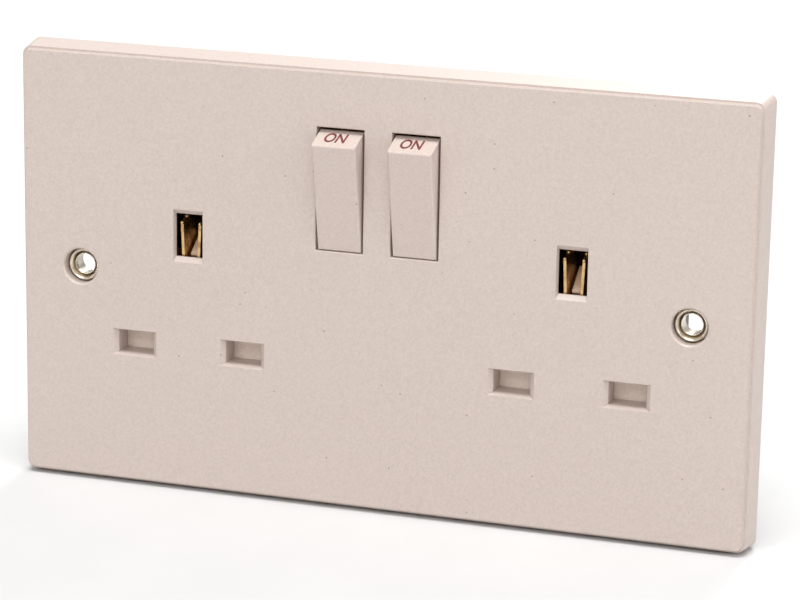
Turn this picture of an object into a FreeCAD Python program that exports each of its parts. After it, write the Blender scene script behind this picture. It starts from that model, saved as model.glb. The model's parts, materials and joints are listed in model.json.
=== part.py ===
import FreeCAD, Part

import math
import os
from types import SimpleNamespace

import Sketcher

# Twin switched socket outlet. Millimetres: X to the right seen from the front, Y into the wall, Z up.
# The origin is the centre of the plate on the wall plane, so the front face is at Y = -plate_depth.
# A size given as text is worked out from the sizes above it.

SIZES = {
    # Face plate
    "plate_width": 146.0,
    "plate_height": 86.0,
    "plate_depth": 7.3,
    "panel_width": 143.4,
    "panel_height": 83.4,
    "panel_corner": 1.1,
    "riser_depth": 1.0,
    "riser_slope": 0.25,
    "land_width": 0.37,
    "skin": 2.6,
    "rim_wall": 2.2,
    # Fixing holes and eyelets
    "fixing_edge": 12.7,
    "fixing_pitch": "plate_width - 2 * fixing_edge",
    "fixing_hole": 6.9,
    "fixing_bevel": 0.3,
    "fixing_boss": 11.6,
    "fixing_boss_reach": 1.3,
    "eyelet_bore": 4.4,
    "eyelet_tube": 5.6,
    "eyelet_flange": 9.6,
    "eyelet_nose": 2.2,
    "eyelet_bevel": 0.2,
    "eyelet_lip": 6.3,
    "eyelet_lip_wall": 0.5,
    "eyelet_funnel": 1.5,
    "eyelet_rivet": 6.8,
    "eyelet_rivet_depth": 0.8,
    # Pin apertures
    "outlet_edge": 35.1,
    "outlet_pitch": "plate_width - 2 * outlet_edge",
    "pin_pitch": 22.23,
    "earth_height": 7.95,
    "earth_width": 6.0,
    "earth_tall": 10.3,
    "earth_bevel_side": 0.2,
    "earth_bevel_end": 0.9,
    "earth_skin": 1.3,
    "earth_recess_margin": 0.5,
    "slot_width": 9.05,
    "slot_tall": 5.2,
    "slot_bevel_side": 0.9,
    "slot_bevel_end": 0.35,
    "aperture_bevel_depth": 0.9,
    "collar_wall": 1.2,
    "collar_reach": 2.6,
    # Rocker switches
    "rocker_pitch": 14.84,
    "rocker_height": 19.58,
    "switch_width": 9.4,
    "switch_tall": 23.7,
    "switch_edge": 0.25,
    "rocker_width": 8.6,
    "rocker_face_half": 10.66,
    "rocker_skirt_half": 11.55,
    "rocker_face_reach": 6.3,
    "rocker_skirt_reach": 0.6,
    "rocker_tail": 0.4,
    "rocker_tail_half": 11.2,
    "rocker_wall": 1.3,
    "rocker_edge": 0.35,
    "rocker_tilt": 11.7,
    "pivot_depth": 4.3,
    "trunnion": 3.0,
    "trunnion_length": 1.9,
    "cheek_gap": 0.7,
    "cheek_wall": 1.4,
    "cheek_half": 4.0,
    "cheek_reach": 3.3,
    "running_gap": 0.05,
    "plunger_tube": 5.2,
    "plunger_tube_reach": 5.0,
    "plunger": 3.0,
    "plunger_reach": 10.0,
    "plunger_seat": 2.0,
    "plunger_dome": 1.3,
    "bore_end": 3.6,
    "plunger_spring": 2.6,
    "plunger_wire": 0.4,
    "plunger_coils": 5.0,
    # Switch contacts
    "arm_tilt": 7.0,
    "arm_gap": 0.1,
    "arm_width": 6.0,
    "arm_sheet": 0.8,
    "arm_upper": 10.0,
    "arm_lower": 8.2,
    "arm_pip": 1.6,
    "arm_pip_reach": 4.4,
    "arm_pip_root": 2.6,
    "contact_tip": 3.2,
    "tip_thick": 0.7,
    "tip_offset": 8.0,
    "tip_gap": 0.1,
    "ear_clearance": 0.25,
    "ear_sheet": 1.0,
    "ear_half": 2.0,
    "ear_lip": 0.6,
    # Bars and strips
    "strip_depth": 18.1,
    "strip_sheet": 0.8,
    "strip_width": 5.5,
    "lane_width": 4.0,
    "feed_link_low": 12.5,
    "feed_link_width": 4.0,
    "feed_link_half": 11.9,
    "feed_tail_width": 6.0,
    # Forked line and neutral contacts
    "fork_front": 8.2,
    "fork_throat": 11.0,
    "fork_mouth_half": 2.5,
    "fork_throat_half": 1.6,
    "fork_root_half": 2.4,
    "fork_sheet": 0.7,
    "neutral_depth": 12.7,
    "neutral_low": 24.0,
    "neutral_width": 3.5,
    # Earth bar
    "earth_depth": 10.5,
    "earth_sheet": 1.0,
    "earth_bar_low": 3.0,
    "earth_bar_width": 4.0,
    "earth_bar_overhang": 7.1,
    "earth_bar_half": "outlet_pitch / 2 + earth_bar_overhang",
    "leaf_sheet": 0.55,
    "leaf_front": 1.6,
    "leaf_tip": 3.8,
    "leaf_throat": 8.5,
    "leaf_back": 17.0,
    "leaf_top_front": 10.2,
    "leaf_top_tip": 11.1,
    "leaf_top": 11.5,
    "leaf_front_low": 1.14,
    "leaf_front_high": 1.56,
    "leaf_tip_low": 1.1,
    "leaf_tip_high": 1.5,
    "leaf_throat_low": 1.02,
    "leaf_throat_high": 1.36,
    "leaf_back_half": 1.6,
    "fork_base_front": 9.5,
    "fork_base_low": 0.4,
    "fork_base_sheet": 0.8,
    "strap_sheet": 0.8,
    "strap_width": 6.0,
    "strap_step": 1.0,
    "strap_bend": "earth_bar_half + strap_step",
    "strap_lap": 3.8,
    "strap_end": "earth_bar_half - strap_lap",
    "strap_ring": 10.0,
    # Shutters
    "shutter_depth": 5.5,
    "shutter_sheet": 2.0,
    "shutter_half": 15.1,
    "shutter_cover": 0.35,
    "shutter_flap": 6.8,
    "shutter_web_half": 4.0,
    "shutter_web_top": -1.0,
    "shutter_tongue": 1.5,
    "ramp_front": 3.4,
    "ramp_back": 8.4,
    "ramp_low": 3.9,
    "ramp_high": 7.4,
    "ramp_tail": 0.4,
    "guide_gap": 0.3,
    "guide_wall": 0.7,
    "guide_reach": 4.4,
    "guide_low": 25.0,
    "guide_high": 10.2,
    "spring_axis": 6.5,
    "spring_length": 9.5,
    "shutter_spring": 3.6,
    "shutter_wire": 0.45,
    "shutter_coils": 7.0,
    "spring_spigot": 2.0,
    "spring_spigot_reach": 1.8,
    "ledge_half": 3.5,
    "ledge_thick": 1.4,
    "ledge_reach": 5.9,
    # Rear housing
    "lug_clearance": 4.3,
    "housing_half": "fixing_pitch / 2 - lug_clearance",
    "housing_top": 34.5,
    "housing_low": 31.5,
    "housing_front": 1.6,
    "housing_back": 20.2,
    "housing_wall": 1.8,
    "housing_floor": 2.0,
    "housing_corner": 1.6,
    "lug_notch_depth": 2.0,
    "lug_notch_half": "housing_half - lug_notch_depth",
    "lug_notch_tall": 8.0,
    "bay_half": 24.0,
    "bay_top": 21.5,
    "bay_wall": 1.6,
    "bay_fin": 1.5,
    "terminal_pitch": 16.0,
    "tab_slot_gap": 0.2,
    "tab_end": 29.0,
    "riser_run": 18.1,
    "rib_wall": 1.2,
    "partition_offset": 7.2,
    "partition_low": 19.5,
    "partition_high": 8.0,
    "partition_gap": 0.3,
    "keeper_half": 1.3,
    "keeper_gap": 0.2,
    "earth_stand": 20.0,
    # Terminals
    "terminal_half": 4.0,
    "terminal_low": 30.5,
    "terminal_high": 22.5,
    "terminal_tall": 7.2,
    "cable_bore": 4.2,
    "cable_axis": 2.7,
    "terminal_thread": 3.6,
    "terminal_shank": 3.5,
    "terminal_head": 5.6,
    "terminal_head_tall": 1.4,
    "driver_slot": 0.8,
    "driver_slot_depth": 0.7,
    # Housing screws
    "upper_screw_offset": 2.1,
    "upper_screw_x": "outlet_pitch / 2 + upper_screw_offset",
    "upper_screw_z": 19.0,
    "lower_screw_x": 8.5,
    "lower_screw_z": -14.0,
    "plate_post": 6.0,
    "plate_post_reach": 4.4,
    "housing_post": 6.4,
    "post_gap": 0.2,
    "screw_shank": 2.5,
    "screw_pilot": 2.6,
    "screw_clearance": 2.9,
    "screw_head": 5.2,
    "screw_head_tall": 1.7,
    "screw_counterbore": 5.8,
    "screw_grip": 3.3,
    "pilot_depth": 4.2,
}

SIDES = (("left", -1), ("right", 1))
WIRE_SIDES = 6

doc = FreeCAD.newDocument("TwinSocket")
sheet = doc.addObject("Spreadsheet::Sheet", "Sizes")
for row, (alias, number) in enumerate(SIZES.items(), start=1):
    sheet.set(f"A{row}", alias)
    sheet.set(f"B{row}", f"={number}")
    sheet.setAlias(f"B{row}", alias)
doc.recompute()


class Size:
    """A number together with the formula of named sizes that gives it."""

    def __init__(self, value, formula):
        self.value = value
        self.formula = formula

    def joined(self, sign, other, value):
        return Size(value, f"({self.formula} {sign} {other.formula})")

    def __add__(self, other):
        other = as_size(other)
        return self.joined("+", other, self.value + other.value)

    def __sub__(self, other):
        other = as_size(other)
        return self.joined("-", other, self.value - other.value)

    def __mul__(self, other):
        other = as_size(other)
        return self.joined("*", other, self.value * other.value)

    def __truediv__(self, other):
        other = as_size(other)
        return self.joined("/", other, self.value / other.value)

    def __radd__(self, other):
        return as_size(other) + self

    def __rsub__(self, other):
        return as_size(other) - self

    def __rmul__(self, other):
        return as_size(other) * self

    def __neg__(self):
        return as_size(0) - self


def as_size(number):
    return number if isinstance(number, Size) else Size(float(number), repr(float(number)))


d = SimpleNamespace(**{alias: Size(float(sheet.get(alias)), f"Sizes.{alias}") for alias in SIZES})
parts = []


def in_order(first, second):
    return sorted((first, second), key=lambda size: size.value)


def bind(item, path, size):
    item.setExpression(path, as_size(size).formula)


def new_body(label):
    body = doc.addObject("PartDesign::Body", label)
    body.Label = label
    parts.append(body)
    return body


def place(body, base, tilt=None, axis=(1, 0, 0)):
    """Puts a body's own origin at base, turned by tilt about axis."""
    base = [as_size(length) for length in base]
    angle = as_size(0 if tilt is None else tilt)
    rotation = FreeCAD.Rotation(FreeCAD.Vector(*axis), angle.value)
    body.Placement = FreeCAD.Placement(FreeCAD.Vector(*[length.value for length in base]), rotation)
    for letter, length in zip("xyz", base):
        bind(body, f"Placement.Base.{letter}", length)
    if tilt is not None:
        bind(body, "Placement.Rotation.Angle", angle)


def new_sketch(body, name, plane, lift=0):
    """A sketch on one of the body's origin planes, lifted along the plane's normal."""
    sketch = body.newObject("Sketcher::SketchObject", f"{body.Label}_{name}")
    origin_plane = next(item for item in body.Origin.OriginFeatures if item.Role == plane)
    sketch.AttachmentSupport = [(origin_plane, "")]
    sketch.MapMode = "FlatFace"
    bind(sketch, "AttachmentOffset.Base.z", lift)
    return sketch


def facing(body, name, depth):
    """A sketch parallel to the wall at Y = depth, drawn in X and Z, with its normal to the front."""
    return new_sketch(body, name, "XZ_Plane", -as_size(depth))


def limit_size(sketch, kind, geometry, size):
    """Gives a circle or an arc its Diameter or Radius."""
    limit = Sketcher.Constraint(kind, geometry, size.value)
    limit.Name = f"{kind}_{geometry}"
    sketch.addConstraint(limit)
    sketch.setExpression(f"Constraints.{limit.Name}", size.formula)


def hold(sketch, places):
    """Fixes points of the sketch, each given as its geometry, its corner there, and X and Y."""
    limits = []
    formulas = []
    for geometry, corner, x, y in places:
        for kind, size in (("DistanceX", as_size(x)), ("DistanceY", as_size(y))):
            limit = Sketcher.Constraint(kind, -1, 1, geometry, corner, size.value)
            limit.Name = f"{kind}_{geometry}"
            limits.append(limit)
            formulas.append((f"Constraints.{limit.Name}", size.formula))
    sketch.addConstraint(limits)
    for path, formula in formulas:
        sketch.setExpression(path, formula)


def polygon(sketch, corners):
    first = sketch.GeometryCount
    points = [FreeCAD.Vector(as_size(x).value, as_size(y).value, 0) for x, y in corners]
    count = len(points)
    sketch.addGeometry([Part.LineSegment(point, points[(i + 1) % count]) for i, point in enumerate(points)])
    sketch.addConstraint([
        Sketcher.Constraint("Coincident", first + i, 2, first + (i + 1) % count, 1) for i in range(count)
    ])
    hold(sketch, [(first + i, 1, x, y) for i, (x, y) in enumerate(corners)])


def rectangle(sketch, x_low, x_high, y_low, y_high):
    polygon(sketch, [(x_low, y_low), (x_high, y_low), (x_high, y_high), (x_low, y_high)])


def circle(sketch, x, y, diameter):
    size = as_size(diameter)
    centre = FreeCAD.Vector(as_size(x).value, as_size(y).value, 0)
    index = sketch.addGeometry(Part.Circle(centre, FreeCAD.Vector(0, 0, 1), size.value / 2))
    hold(sketch, [(index, 3, x, y)])
    limit_size(sketch, "Diameter", index, size)


def rounded_rectangle(sketch, width, height, radius):
    """A rectangle about the sketch's origin, with round corners."""
    half_w, half_h, r = as_size(width) / 2, as_size(height) / 2, as_size(radius)
    corners = ((1, -1, -90), (1, 1, 0), (-1, 1, 90), (-1, -1, 180))
    normal = FreeCAD.Vector(0, 0, 1)
    arcs = []
    for sx, sy, start in corners:
        centre = FreeCAD.Vector(sx * (half_w - r).value, sy * (half_h - r).value, 0)
        full = Part.Circle(centre, normal, r.value)
        arc = Part.ArcOfCircle(full, math.radians(start), math.radians(start + 90))
        arcs.append(sketch.addGeometry(arc))
    for i, arc in enumerate(arcs):
        following = arcs[(i + 1) % 4]
        line = sketch.addGeometry(
            Part.LineSegment(sketch.getPoint(arc, 2), sketch.getPoint(following, 1))
        )
        sketch.addConstraint(Sketcher.Constraint("Tangent", arc, 2, line, 1))
        sketch.addConstraint(Sketcher.Constraint("Tangent", line, 2, following, 1))
    hold(sketch, [(arc, 3, sx * (half_w - r), sy * (half_h - r)) for (sx, sy, _), arc in zip(corners, arcs)])
    limit_size(sketch, "Radius", arcs[0], r)


def feature(body, kind, sketch):
    item = body.newObject(f"PartDesign::{kind}", f"{sketch.Name}_{kind.lower()}")
    item.Profile = sketch
    sketch.Visibility = False
    return item


def pad(body, sketch, length, away=False):
    """Raises a sketch along its normal, or the other way where away is set."""
    item = feature(body, "Pad", sketch)
    bind(item, "Length", length)
    item.Reversed = away
    return item


def pocket(body, sketch, length, along_normal=False):
    """Cuts a sketch against its normal, or along it, and checks that material went."""
    doc.recompute()
    before = body.Shape.Volume
    item = feature(body, "Pocket", sketch)
    bind(item, "Length", length)
    item.Reversed = along_normal
    doc.recompute()
    if body.Shape.Volume >= before:
        raise ValueError(f"{sketch.Name} cuts nothing")
    return item


def loft(body, kind, sketches):
    item = feature(body, kind, sketches[0])
    item.Sections = sketches[1:]
    item.Ruled = True
    return item


def revolve(body, name, profile):
    """Turns a profile of (radius, Y) points about the body's Y axis."""
    sketch = new_sketch(body, name, "XY_Plane")
    polygon(sketch, profile)
    item = feature(body, "Revolution", sketch)
    item.ReferenceAxis = (sketch, ["V_Axis"])
    item.Angle = 360
    return item


def round_edges(body, radius, chosen):
    """Rounds the edges of the body's present shape for which chosen is true."""
    doc.recompute()
    base = body.Tip
    names = [f"Edge{i}" for i, edge in enumerate(base.Shape.Edges, start=1) if chosen(edge)]
    item = body.newObject("PartDesign::Fillet", f"{body.Label}_edges_{len(names)}")
    item.Base = (base, names)
    bind(item, "Radius", radius)
    return item


def on_plane(edge, axis, value):
    return all(abs(getattr(vertex.Point, axis) - value) < 1e-4 for vertex in edge.Vertexes)


# Places that several pieces share

front = -d.plate_depth
skin_back = front + d.skin
slot_height = d.earth_height - d.pin_pitch
slot_inner_half = d.slot_width / 2 - d.slot_bevel_side
slot_inner_tall_half = d.slot_tall / 2 - d.slot_bevel_end
pivot_y = front + d.pivot_depth
cheek_back = skin_back + d.cheek_reach
arm_axis_y = pivot_y + d.plunger_reach + d.arm_gap + d.arm_sheet / 2
strip_front = front + d.strip_depth
strip_back = strip_front + d.strip_sheet
neutral_front = front + d.neutral_depth
neutral_back = neutral_front + d.strip_sheet
earth_front = front + d.earth_depth
earth_back = earth_front + d.earth_sheet
shutter_front = front + d.shutter_depth
shutter_back = shutter_front + d.shutter_sheet
flap_top = slot_height + slot_inner_tall_half + d.shutter_cover
flap_low = flap_top - d.shutter_flap
spring_seat = flap_low - d.spring_length
spring_y = front + d.spring_axis
floor_inside = d.housing_back - d.housing_floor
boss_back = skin_back + d.fixing_boss_reach
strap_front = boss_back + d.strap_sheet
strap_back = strap_front + d.strap_sheet
tip_height = d.rocker_height + d.tip_offset
screw_places = [
    (sign * x, z)
    for x, z in ((d.upper_screw_x, d.upper_screw_z), (d.lower_screw_x, d.lower_screw_z))
    for _, sign in SIDES
]


def outlet_x(sign):
    return sign * d.outlet_pitch / 2


def rocker_x(sign):
    return sign * d.rocker_pitch / 2


def slot_xs():
    return [outlet_x(sign) + hand * d.pin_pitch / 2 for _, sign in SIDES for hand in (-1, 1)]


def cheek_spans():
    """Low and high X of the four cheeks that carry the rockers."""
    near = d.rocker_width / 2 + d.cheek_gap
    spans = []
    for _, sign in SIDES:
        for hand in (-1, 1):
            ends = in_order(hand * near, hand * (near + d.cheek_wall))
            spans.append([rocker_x(sign) + end for end in ends])
    return spans


# Face plate

def front_plate():
    body = new_body("front_plate")
    land_y = front + d.riser_depth
    panel_base = (d.panel_width + 2 * d.riser_slope, d.panel_height + 2 * d.riser_slope)
    base_corner = d.panel_corner + d.riser_slope
    land_corner = base_corner + d.land_width

    back_edge = facing(body, "back_edge", 0)
    rounded_rectangle(back_edge, d.plate_width, d.plate_height, land_corner)
    land_edge = facing(body, "land_edge", land_y)
    land_size = [side + 2 * d.land_width for side in panel_base]
    rounded_rectangle(land_edge, *land_size, land_corner)
    loft(body, "AdditiveLoft", [back_edge, land_edge])

    riser_foot = facing(body, "riser_foot", land_y)
    rounded_rectangle(riser_foot, *panel_base, base_corner)
    panel_edge = facing(body, "panel_edge", front)
    rounded_rectangle(panel_edge, d.panel_width, d.panel_height, d.panel_corner)
    loft(body, "AdditiveLoft", [riser_foot, panel_edge])

    hollow = facing(body, "hollow", 0)
    hollow_size = [side - 2 * d.rim_wall for side in (d.plate_width, d.plate_height)]
    rounded_rectangle(hollow, *hollow_size, d.panel_corner)
    pocket(body, hollow, -skin_back, along_normal=True)

    collars = facing(body, "collars", skin_back)
    for x in slot_xs():
        half = slot_inner_half + d.collar_wall
        tall = slot_inner_tall_half + d.collar_wall
        rectangle(collars, x - half, x + half, slot_height - tall, slot_height + tall)
    pad(body, collars, d.collar_reach, away=True)

    bosses = facing(body, "fixing_bosses", skin_back)
    for _, sign in SIDES:
        circle(bosses, sign * d.fixing_pitch / 2, 0, d.fixing_boss)
    pad(body, bosses, d.fixing_boss_reach, away=True)

    guides = facing(body, "shutter_guides", skin_back)
    for _, sign in SIDES:
        for hand in (-1, 1):
            near = hand * (d.shutter_half + d.guide_gap)
            far = hand * (d.shutter_half + d.guide_gap + d.guide_wall)
            low, high = in_order(near, far)
            rectangle(guides, outlet_x(sign) + low, outlet_x(sign) + high, -d.guide_low, -d.guide_high)
    pad(body, guides, d.guide_reach, away=True)

    cheeks = facing(body, "rocker_cheeks", skin_back)
    for low, high in cheek_spans():
        rectangle(cheeks, low, high, d.rocker_height - d.cheek_half, d.rocker_height + d.cheek_half)
    pad(body, cheeks, d.cheek_reach, away=True)

    ledges = facing(body, "spring_ledges", skin_back)
    for _, sign in SIDES:
        x = outlet_x(sign)
        rectangle(ledges, x - d.ledge_half, x + d.ledge_half, spring_seat - d.ledge_thick, spring_seat)
    pad(body, ledges, d.ledge_reach, away=True)

    spigots = new_sketch(body, "spring_spigots", "XY_Plane", spring_seat)
    for _, sign in SIDES:
        circle(spigots, outlet_x(sign), spring_y, d.spring_spigot)
    pad(body, spigots, d.spring_spigot_reach)

    posts = facing(body, "screw_posts", skin_back)
    for x, z in screw_places:
        circle(posts, x, z, d.plate_post)
    pad(body, posts, d.plate_post_reach, away=True)

    pilots = facing(body, "screw_pilots", skin_back + d.plate_post_reach)
    for x, z in screw_places:
        circle(pilots, x, z, d.screw_pilot)
    pocket(body, pilots, d.pilot_depth, along_normal=True)

    notch_reach = (d.trunnion + 2 * d.running_gap) / 2
    side_reach = (d.rocker_pitch + d.rocker_width) / 2 + d.cheek_gap + 2 * d.cheek_wall
    bearings = new_sketch(body, "trunnion_seats", "YZ_Plane", side_reach)
    circle(bearings, pivot_y, d.rocker_height, 2 * notch_reach)
    pocket(body, bearings, 2 * side_reach)
    notches = new_sketch(body, "trunnion_notches", "YZ_Plane", side_reach)
    rectangle(
        notches, pivot_y, cheek_back + d.cheek_wall,
        d.rocker_height - notch_reach, d.rocker_height + notch_reach,
    )
    pocket(body, notches, 2 * side_reach)

    switches = facing(body, "switch_openings", front)
    for _, sign in SIDES:
        x, half, tall = rocker_x(sign), d.switch_width / 2, d.switch_tall / 2
        rectangle(switches, x - half, x + half, d.rocker_height - tall, d.rocker_height + tall)
    pocket(body, switches, d.skin)

    fixings = facing(body, "fixing_holes", front)
    for _, sign in SIDES:
        circle(fixings, sign * d.fixing_pitch / 2, 0, d.fixing_hole)
    pocket(body, fixings, d.skin + d.fixing_boss_reach)

    recesses = facing(body, "earth_recesses", skin_back)
    recess_half = d.earth_width / 2 + d.earth_recess_margin
    recess_low, recess_high = d.fork_base_low - d.earth_recess_margin, d.earth_height + d.earth_tall / 2
    for _, sign in SIDES:
        x = outlet_x(sign)
        rectangle(recesses, x - recess_half, x + recess_half, recess_low, recess_high)
    pocket(body, recesses, d.skin - d.earth_skin, along_normal=True)
    for side, sign in SIDES:
        aperture(
            body, f"earth_{side}", outlet_x(sign), d.earth_height, (d.earth_width / 2, d.earth_tall / 2),
            (d.earth_bevel_side, d.earth_bevel_end), d.skin,
        )
    for i, x in enumerate(slot_xs()):
        aperture(
            body, f"slot_{i}", x, slot_height, (d.slot_width / 2, d.slot_tall / 2),
            (d.slot_bevel_side, d.slot_bevel_end), d.skin + d.collar_reach,
        )
    for side, sign in SIDES:
        rim_bevel(body, side, sign * d.fixing_pitch / 2)

    switch_reach = (d.rocker_pitch + d.switch_width) / 2 + d.switch_edge

    def is_switch_mouth(edge):
        inboard = all(abs(vertex.Point.x) < switch_reach.value for vertex in edge.Vertexes)
        return inboard and on_plane(edge, "y", front.value)

    round_edges(body, d.switch_edge, is_switch_mouth)


def aperture(body, name, x, z, half, bevel, depth):
    """A pin aperture: a bevelled mouth in the front face and a straight throat behind it."""
    inner = [size - cut for size, cut in zip(half, bevel)]
    mouth = facing(body, f"{name}_mouth", front)
    rectangle(mouth, x - half[0], x + half[0], z - half[1], z + half[1])
    neck = facing(body, f"{name}_neck", front + d.aperture_bevel_depth)
    rectangle(neck, x - inner[0], x + inner[0], z - inner[1], z + inner[1])
    loft(body, "SubtractiveLoft", [mouth, neck])
    throat = facing(body, f"{name}_throat", front)
    rectangle(throat, x - inner[0], x + inner[0], z - inner[1], z + inner[1])
    pocket(body, throat, depth)


def rim_bevel(body, side, x):
    """The small bevel round the mouth of a fixing hole."""
    mouth = facing(body, f"fixing_mouth_{side}", front)
    circle(mouth, x, 0, d.fixing_hole + 2 * d.fixing_bevel)
    neck = facing(body, f"fixing_neck_{side}", front + d.fixing_bevel)
    circle(neck, x, 0, d.fixing_hole)
    loft(body, "SubtractiveLoft", [mouth, neck])


# Rocker, its plunger and its spring, drawn level about the pivot and then tilted to ON

def rocker(side, sign):
    body = new_body(f"rocker_{side}")
    place(body, (rocker_x(sign), pivot_y, d.rocker_height), d.rocker_tilt)
    half = d.rocker_width / 2
    section = new_sketch(body, "section", "YZ_Plane", -half)
    polygon(section, [
        (-d.rocker_face_reach, -d.rocker_face_half),
        (-d.rocker_face_reach, d.rocker_face_half),
        (-d.rocker_skirt_reach, d.rocker_skirt_half),
        (d.rocker_tail, d.rocker_tail_half),
        (d.rocker_tail, -d.rocker_tail_half),
        (-d.rocker_skirt_reach, -d.rocker_skirt_half),
    ])
    pad(body, section, d.rocker_width)
    round_edges(body, d.rocker_edge, lambda edge: on_plane(edge, "y", -d.rocker_face_reach.value))

    hollow = facing(body, "hollow", d.rocker_tail)
    inner_half = half - d.rocker_wall
    inner_tall = d.rocker_tail_half - d.rocker_wall
    rectangle(hollow, -inner_half, inner_half, -inner_tall, inner_tall)
    pocket(body, hollow, d.rocker_tail + d.rocker_face_reach - d.rocker_wall, along_normal=True)

    tube = facing(body, "plunger_tube", d.rocker_wall - d.rocker_face_reach)
    circle(tube, 0, 0, d.plunger_tube)
    pad(body, tube, d.rocker_face_reach - d.rocker_wall + d.plunger_tube_reach, away=True)
    bore = facing(body, "plunger_bore", d.plunger_tube_reach)
    circle(bore, 0, 0, d.plunger + 2 * d.running_gap)
    pocket(body, bore, d.plunger_tube_reach + d.bore_end, along_normal=True)

    root = half - d.rocker_wall / 2
    for hand in (-1, 1):
        trunnion = new_sketch(body, "trunnion_a" if hand < 0 else "trunnion_b", "YZ_Plane", hand * root)
        circle(trunnion, 0, 0, d.trunnion)
        pad(body, trunnion, d.rocker_wall / 2 + d.trunnion_length, away=hand < 0)


def plunger(side, sign):
    body = new_body(f"plunger_{side}")
    place(body, (rocker_x(sign), pivot_y, d.rocker_height), d.rocker_tilt)
    rod = facing(body, "rod", d.plunger_seat)
    circle(rod, 0, 0, d.plunger)
    pad(body, rod, d.plunger_reach - d.plunger_seat, away=True)
    round_edges(body, d.plunger_dome, lambda edge: on_plane(edge, "y", d.plunger_reach.value))


def coil_spring(body, name, plane, start, length, outside, wire, coils):
    """A spring of flat-sided wire, from start to start + length along the sketch's upright axis."""
    section = new_sketch(body, name, plane)
    middle, centre, reach = (outside - wire) / 2, start + wire / 2, wire / 2
    turns = [math.tau * i / WIRE_SIDES for i in range(WIRE_SIDES)]
    polygon(section, [(middle + reach * math.cos(turn), centre + reach * math.sin(turn)) for turn in turns])
    item = feature(body, "AdditiveHelix", section)
    item.ReferenceAxis = (section, ["V_Axis"])
    item.Mode = 0
    bind(item, "Pitch", (length - wire) / coils)
    bind(item, "Height", length - wire)


def plunger_spring(side, sign):
    body = new_body(f"plunger_spring_{side}")
    place(body, (rocker_x(sign), pivot_y, d.rocker_height), d.rocker_tilt)
    coil_spring(
        body, "wire", "XY_Plane", -d.bore_end, d.bore_end + d.plunger_seat,
        d.plunger_spring, d.plunger_wire, d.plunger_coils,
    )


# Switch contacts

def contact_arm(side, sign):
    body = new_body(f"contact_arm_{side}")
    place(body, (rocker_x(sign), arm_axis_y, d.rocker_height), d.arm_tilt, axis=(-1, 0, 0))
    strip = facing(body, "strip", -d.arm_sheet / 2)
    half, taper = d.arm_width / 2, d.arm_width / 4
    low, high = -d.arm_lower, d.arm_upper
    polygon(strip, [
        (-half, low + taper), (-taper, low), (taper, low), (half, low + taper),
        (half, high - taper), (taper, high), (-taper, high), (-half, high - taper),
    ])
    pad(body, strip, d.arm_sheet, away=True)
    for hand in (-1, 1):
        pip = new_sketch(body, "pip_a" if hand < 0 else "pip_b", "YZ_Plane", hand * d.arm_pip_root)
        circle(pip, 0, 0, d.arm_pip)
        pad(body, pip, d.arm_pip_reach - d.arm_pip_root, away=hand < 0)

    tip = new_body(f"arm_tip_{side}")
    place(tip, (rocker_x(sign), arm_axis_y, d.rocker_height), d.arm_tilt, axis=(-1, 0, 0))
    button = facing(tip, "button", d.arm_sheet / 2)
    circle(button, 0, d.tip_offset, d.contact_tip)
    pad(tip, button, d.tip_thick, away=True)


def line_feed_bar():
    body = new_body("line_feed_bar")
    strip = facing(body, "strip", strip_front)
    link_low, link_high = d.feed_link_low, d.feed_link_low + d.feed_link_width
    link, tail = d.feed_link_half, d.feed_tail_width / 2
    ear_out = d.arm_width / 2 + d.ear_clearance + d.ear_sheet
    inner, outer = d.rocker_pitch / 2 - ear_out, d.rocker_pitch / 2 + ear_out
    top = d.rocker_height + d.ear_half
    polygon(strip, [
        (-tail, -d.tab_end), (tail, -d.tab_end), (tail, link_low), (link, link_low), (outer, link_high),
        (outer, top), (inner, top), (inner, link_high), (-inner, link_high), (-inner, top),
        (-outer, top), (-outer, link_high), (-link, link_low), (-tail, link_low),
    ])
    pad(body, strip, d.strip_sheet, away=True)
    ears = facing(body, "ears", strip_front)
    for _, sign in SIDES:
        for hand in (-1, 1):
            near = hand * (d.arm_width / 2 + d.ear_clearance)
            low, high = in_order(near, hand * ear_out)
            x = rocker_x(sign)
            rectangle(ears, x + low, x + high, d.rocker_height - d.ear_half, d.rocker_height + d.ear_half)
    pad(body, ears, strip_front - arm_axis_y + d.ear_lip)

    notch = d.arm_pip / 2 + d.running_gap
    seat = new_sketch(body, "pip_seats", "YZ_Plane", outer)
    circle(seat, arm_axis_y, d.rocker_height, 2 * notch)
    pocket(body, seat, 2 * outer)
    mouth = new_sketch(body, "pip_mouths", "YZ_Plane", outer)
    mouth_low, mouth_high = d.rocker_height - notch, d.rocker_height + notch
    rectangle(mouth, arm_axis_y - 2 * d.ear_lip, arm_axis_y, mouth_low, mouth_high)
    pocket(body, mouth, 2 * outer)


def fork(body, name, x):
    """A sprung fork for a flat pin: two leaves that pinch in from a flared mouth, joined at the back."""
    section = new_sketch(body, name, "YZ_Plane", x - d.strip_width / 2)
    mouth_y, throat_y = front + d.fork_front, front + d.fork_throat
    outside = [
        (mouth_y, d.fork_mouth_half + d.fork_sheet),
        (throat_y, d.fork_throat_half + d.fork_sheet),
        (strip_back, d.fork_root_half + d.fork_sheet),
    ]
    inside = [
        (strip_front, d.fork_root_half), (throat_y, d.fork_throat_half), (mouth_y, d.fork_mouth_half),
    ]
    upper = [(y, slot_height + z) for y, z in outside]
    lower = [(y, slot_height - z) for y, z in reversed(outside)]
    lower_inside = [(y, slot_height - z) for y, z in reversed(inside)]
    upper_inside = [(y, slot_height + z) for y, z in inside]
    polygon(section, upper + lower + lower_inside + upper_inside)
    pad(body, section, d.strip_width)


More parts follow.
